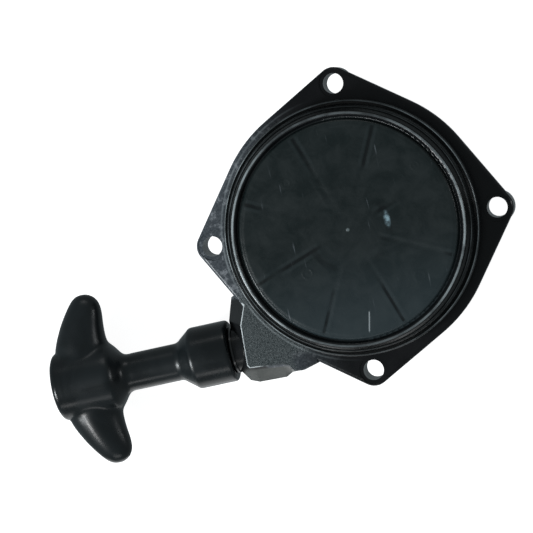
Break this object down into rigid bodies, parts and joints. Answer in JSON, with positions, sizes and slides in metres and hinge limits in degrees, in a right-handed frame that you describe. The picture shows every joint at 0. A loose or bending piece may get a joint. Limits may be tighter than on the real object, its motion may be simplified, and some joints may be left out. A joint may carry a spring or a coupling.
{
  "type": "recoil starter",
  "caption": "Pull-rope recoil starter for a small engine: round die-cast case with mounting ears, spring-loaded rope reel with pawls, and a T-shaped pull grip on a side outlet.",
  "frame": {"origin": "on the reel axis, in the plane of the rear faces of the four ears, which seat on the engine", "axes": "+Z out of the closed face of the case, away from the engine; the rope is pulled out along -X"},
  "size_m": [0.1965, 0.1355, 0.044],
  "materials": {
    "black_casting": "satin black paint on die-cast alloy",
    "black_grip": "satin moulded",
    "guide_plastic": "hard, smooth",
    "reel_nylon": "glass-filled moulding",
    "spring_steel": "blued and oiled",
    "zinc_steel": "zinc plated",
    "pawl_steel": "hardened",
    "bronze": "sintered",
    "rope_braid": "braided nylon"
  },
  "bodies": {
    "housing": {"starter_case": "black_casting", "rope_guide": "guide_plastic", "spring_case": "zinc_steel", "centre_screw": "zinc_steel", "thrust_washer": "zinc_steel"},
    "reel": {"rope_reel": "reel_nylon", "reel_bush": "bronze", "rope_windings": "rope_braid", "reel_knot": "rope_braid", "recoil_spring": "spring_steel", "pawl_pins": "pawl_steel", "return_spring": "zinc_steel", "friction_spring": "zinc_steel"},
    "guide_plate": {"guide_plate": "zinc_steel"},
    "pawl_a": {"pawl_a": "pawl_steel"},
    "pawl_b": {"pawl_b": "pawl_steel"},
    "handle": {"pull_grip": "black_grip", "grip_cap": "black_grip", "knot_washer": "zinc_steel", "grip_knot": "rope_braid", "rope_lead": "rope_braid"}
  },
  "joints": [
    {"name": "reel_spin", "type": "hinge", "parent": "housing", "child": "reel", "pos_m": [0, 0, 0], "axis": [0, 0, -1], "range_deg": [0, 1150], "stiffness_Nm_per_rad": 0.025, "springref_deg": -687.55, "deforming": ["recoil_spring", "rope_windings"]},
    {"name": "handle_pull", "type": "slide", "parent": "housing", "child": "handle", "axis": [-1, 0, 0], "range_m": [0, 0.66], "deforming": ["rope_lead"]},
    {"name": "guide_plate_lag", "type": "hinge", "parent": "reel", "child": "guide_plate", "pos_m": [0, 0, 0], "axis": [0, 0, 1], "range_deg": [0, 25], "stiffness_Nm_per_rad": 0.02, "springref_deg": -28.65, "deforming": ["return_spring"]},
    {"name": "pawl_a_swing", "type": "hinge", "parent": "reel", "child": "pawl_a", "pos_m": [0.0165, 0, 0], "axis": [0, 0, 1], "range_deg": [0, 25]},
    {"name": "pawl_b_swing", "type": "hinge", "parent": "reel", "child": "pawl_b", "pos_m": [-0.0165, 0, 0], "axis": [0, 0, 1], "range_deg": [0, 25]}
  ],
  "couplings": [
    {"joint": "handle_pull", "follows": "reel_spin", "m_per_rad": 0.0324},
    {"joint": "pawl_a_swing", "follows": "guide_plate_lag", "ratio": 1},
    {"joint": "pawl_b_swing", "follows": "guide_plate_lag", "ratio": 1}
  ]
}
